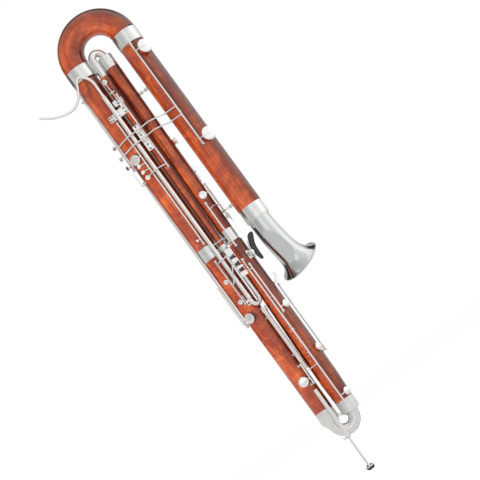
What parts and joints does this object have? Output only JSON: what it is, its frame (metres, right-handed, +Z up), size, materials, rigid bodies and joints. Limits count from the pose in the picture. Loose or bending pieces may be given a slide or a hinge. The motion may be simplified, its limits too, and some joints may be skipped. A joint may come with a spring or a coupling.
{
  "type": "contrabassoon",
  "caption": "Contrabassoon in red-brown stained maple with satin silver keys, ferrules and bell, a long curved bocal, a black hand rest and an adjustable endpin.",
  "frame": {"origin": "Bottom centre of the rubber endpin tip, where the instrument rests on the floor.", "axes": "+Z points up along the tubes, +X points right from the long joint to the bell joint as the keys are seen, and -Y points out of the keywork side."},
  "size_m": [0.3674, 0.2041, 1.3415],
  "materials": {
    "silver_plate": "satin silver plate",
    "stained_maple": "red brown stain under gloss lacquer",
    "black_resin": "polished black",
    "foot_rubber": "matt"
  },
  "bodies": {
    "body": {"long_joint_lower": "stained_maple", "long_joint_upper": "stained_maple", "long_joint_ferrule": "silver_plate", "middle_joint_lower": "stained_maple", "middle_joint_upper": "stained_maple", "middle_joint_ferrule": "silver_plate", "middle_joint_cap": "silver_plate", "first_joint": "stained_maple", "first_joint_ferrules": "silver_plate", "top_bow": "silver_plate", "bottom_bow": "silver_plate", "leadpipe": "silver_plate", "bell_joint": "stained_maple", "bell_ferrule": "silver_plate", "u_bend_ferrules": "silver_plate", "endpin_tube": "silver_plate", "drip_tube": "silver_plate", "ferrule_brace": "silver_plate", "bell_braces": "silver_plate", "leadpipe_clamp": "silver_plate", "lever_saddle": "silver_plate", "hand_rest_block": "silver_plate", "key_posts": "silver_plate", "tone_hole_rings": "stained_maple"},
    "endpin": {"endpin": "silver_plate", "endpin_tip": "foot_rubber"},
    "endpin_screw": {"endpin_screw": "silver_plate"},
    "tuning_bow": {"tuning_bow": "silver_plate"},
    "water_key": {"water_key": "silver_plate"},
    "receiver": {"receiver": "silver_plate"},
    "bocal": {"bocal": "silver_plate"},
    "bell": {"bell": "silver_plate", "bell_tenon": "silver_plate"},
    "u_bend": {"u_bend": "stained_maple"},
    "hand_rest": {"hand_rest_stem": "silver_plate", "hand_rest_crutch": "black_resin"},
    "hand_rest_screw": {"hand_rest_screw": "silver_plate"},
    "bell_lever_upper": {"bell_lever_upper": "silver_plate"},
    "bell_lever_lower": {"bell_lever_lower": "silver_plate"},
    "bell_key_upper": {"bell_key_upper": "silver_plate"},
    "bell_key_lower": {"bell_key_lower": "silver_plate"},
    "octave_key": {"octave_key": "silver_plate"},
    "octave_cup": {"octave_cup": "silver_plate"},
    "finger_key_one": {"finger_key_one": "silver_plate"},
    "finger_key_two": {"finger_key_two": "silver_plate"},
    "thumb_key_upper": {"thumb_key_upper": "silver_plate"},
    "thumb_key_lower": {"thumb_key_lower": "silver_plate"},
    "little_key_one": {"little_key_one": "silver_plate"},
    "little_key_two": {"little_key_two": "silver_plate"},
    "little_key_three": {"little_key_three": "silver_plate"},
    "little_key_four": {"little_key_four": "silver_plate"},
    "roller_one": {"roller_one": "black_resin"},
    "roller_two": {"roller_two": "black_resin"},
    "roller_three": {"roller_three": "black_resin"},
    "link_key": {"link_key": "silver_plate"},
    "right_thumb_key": {"right_thumb_key": "silver_plate"},
    "side_key": {"side_key": "silver_plate"},
    "transfer_key": {"transfer_key": "silver_plate"},
    "back_key": {"back_key": "silver_plate"}
  },
  "joints": [
    {"name": "endpin_slide", "type": "slide", "parent": "body", "child": "endpin", "axis": [0, 0, 1], "range_m": [-0.02, 0.06]},
    {"name": "endpin_screw_turn", "type": "hinge", "parent": "body", "child": "endpin_screw", "pos_m": [-0.012, 0, 0.095], "axis": [1, 0, 0], "continuous": true},
    {"name": "tuning_slide", "type": "slide", "parent": "body", "child": "tuning_bow", "axis": [0, 0, -1], "range_m": [0, 0.0055]},
    {"name": "water_key_turn", "type": "hinge", "parent": "tuning_bow", "child": "water_key", "pos_m": [-0.0085, -0.008, 0.4986], "axis": [0, 1, 0], "range_deg": [0, 10]},
    {"name": "receiver_slide", "type": "slide", "parent": "body", "child": "receiver", "axis": [0, 0, 1], "range_m": [0, 0.015]},
    {"name": "bocal_turn", "type": "hinge", "parent": "receiver", "child": "bocal", "pos_m": [0.0008, -0.008, 1.11], "axis": [0, 0, 1], "range_deg": [-10, 35]},
    {"name": "bell_slide", "type": "slide", "parent": "body", "child": "bell", "axis": [0, 0, -1], "range_m": [0, 0.016]},
    {"name": "u_bend_lift", "type": "slide", "parent": "body", "child": "u_bend", "axis": [0, 0, 1], "range_m": [0, 0.025]},
    {"name": "hand_rest_slide", "type": "slide", "parent": "body", "child": "hand_rest", "axis": [0.7431, 0.6691, 0], "range_m": [0, 0.004]},
    {"name": "hand_rest_screw_turn", "type": "hinge", "parent": "body", "child": "hand_rest_screw", "pos_m": [0.07429, 0.00168, 0.592], "axis": [0.6691, -0.7431, 0], "continuous": true},
    {"name": "bell_lever_upper_turn", "type": "hinge", "parent": "body", "child": "bell_lever_upper", "pos_m": [0.021, -0.0155, 1], "axis": [0, 0, 1], "range_deg": [-3.88, 0]},
    {"name": "bell_key_upper_turn", "type": "hinge", "parent": "body", "child": "bell_key_upper", "pos_m": [0.13208, -0.00991, 1.084], "axis": [0, 0, 1], "range_deg": [0, 10.1]},
    {"name": "bell_lever_lower_turn", "type": "hinge", "parent": "body", "child": "bell_lever_lower", "pos_m": [0.021, -0.0155, 0.975], "axis": [0, 0, 1], "range_deg": [-3.88, 0]},
    {"name": "bell_key_lower_turn", "type": "hinge", "parent": "body", "child": "bell_key_lower", "pos_m": [0.13208, -0.00991, 0.928], "axis": [0, 0, 1], "range_deg": [0, 10.1]},
    {"name": "octave_key_turn", "type": "hinge", "parent": "body", "child": "octave_key", "pos_m": [0.03034, -0.00905, 0.995], "axis": [0, 0, 1], "range_deg": [-6, 0]},
    {"name": "octave_cup_turn", "type": "hinge", "parent": "body", "child": "octave_cup", "pos_m": [0.0245, -0.00492, 1.118], "axis": [1, 0, 0], "range_deg": [0, 2.7]},
    {"name": "finger_key_one_turn", "type": "hinge", "parent": "body", "child": "finger_key_one", "pos_m": [-0.01065, -0.00741, 0.98], "axis": [0, 0, 1], "range_deg": [-8, 0]},
    {"name": "finger_key_two_turn", "type": "hinge", "parent": "body", "child": "finger_key_two", "pos_m": [-0.01065, -0.00741, 0.796], "axis": [0, 0, 1], "range_deg": [-8, 0]},
    {"name": "thumb_key_upper_turn", "type": "hinge", "parent": "body", "child": "thumb_key_upper", "pos_m": [-0.04609, 0.01703, 1.034], "axis": [0, 0, 1], "range_deg": [0, 8]},
    {"name": "thumb_key_lower_turn", "type": "hinge", "parent": "body", "child": "thumb_key_lower", "pos_m": [-0.04389, 0.01534, 0.67], "axis": [0, 0, 1], "range_deg": [0, 8]},
    {"name": "little_key_one_turn", "type": "hinge", "parent": "body", "child": "little_key_one", "pos_m": [-0.0141, -0.00538, 0.592], "axis": [0, 0, 1], "range_deg": [0, 6]},
    {"name": "little_key_two_turn", "type": "hinge", "parent": "body", "child": "little_key_two", "pos_m": [-0.0141, -0.00538, 0.528], "axis": [0, 0, 1], "range_deg": [0, 6]},
    {"name": "little_key_three_turn", "type": "hinge", "parent": "body", "child": "little_key_three", "pos_m": [0.0414, -0.004, 0.381], "axis": [0, 0, 1], "range_deg": [-8, 0]},
    {"name": "little_key_four_turn", "type": "hinge", "parent": "body", "child": "little_key_four", "pos_m": [0.0504, -0.004, 0.5], "axis": [0, 0, 1], "range_deg": [-8, 0]},
    {"name": "roller_one_turn", "type": "hinge", "parent": "little_key_one", "child": "roller_one", "pos_m": [0.0269, -0.018, 0.6073], "axis": [1, 0, 0], "continuous": true},
    {"name": "roller_two_turn", "type": "hinge", "parent": "little_key_two", "child": "roller_two", "pos_m": [0.0269, -0.018, 0.5868], "axis": [1, 0, 0], "continuous": true},
    {"name": "roller_three_turn", "type": "hinge", "parent": "little_key_three", "child": "roller_three", "pos_m": [0.0269, -0.018, 0.5697], "axis": [1, 0, 0], "continuous": true},
    {"name": "link_key_turn", "type": "hinge", "parent": "body", "child": "link_key", "pos_m": [0.0072, -0.002, 0.273], "axis": [0, 0, 1], "range_deg": [0, 5]},
    {"name": "right_thumb_key_turn", "type": "hinge", "parent": "body", "child": "right_thumb_key", "pos_m": [0.07875, 0.03007, 0.398], "axis": [0, 0, 1], "range_deg": [0, 8]},
    {"name": "side_key_turn", "type": "hinge", "parent": "body", "child": "side_key", "pos_m": [0.07702, 0.02721, 0.75], "axis": [0, 0, 1], "range_deg": [0, 7]},
    {"name": "transfer_key_turn", "type": "hinge", "parent": "body", "child": "transfer_key", "pos_m": [0.05, -0.0005, 0.692], "axis": [0, 0, 1], "range_deg": [-8, 0]},
    {"name": "back_key_turn", "type": "hinge", "parent": "body", "child": "back_key", "pos_m": [0.07275, 0.04546, 0.884], "axis": [0, 0, 1], "range_deg": [-8, 0]}
  ],
  "couplings": [
    {"joint": "bell_key_upper_turn", "follows": "bell_lever_upper_turn", "ratio": -2.58},
    {"joint": "bell_key_lower_turn", "follows": "bell_lever_lower_turn", "ratio": -2.58},
    {"joint": "octave_cup_turn", "follows": "octave_key_turn", "ratio": -0.32},
    {"joint": "link_key_turn", "follows": "little_key_three_turn", "ratio": -0.57},
    {"joint": "side_key_turn", "follows": "transfer_key_turn", "ratio": -0.84}
  ]
}
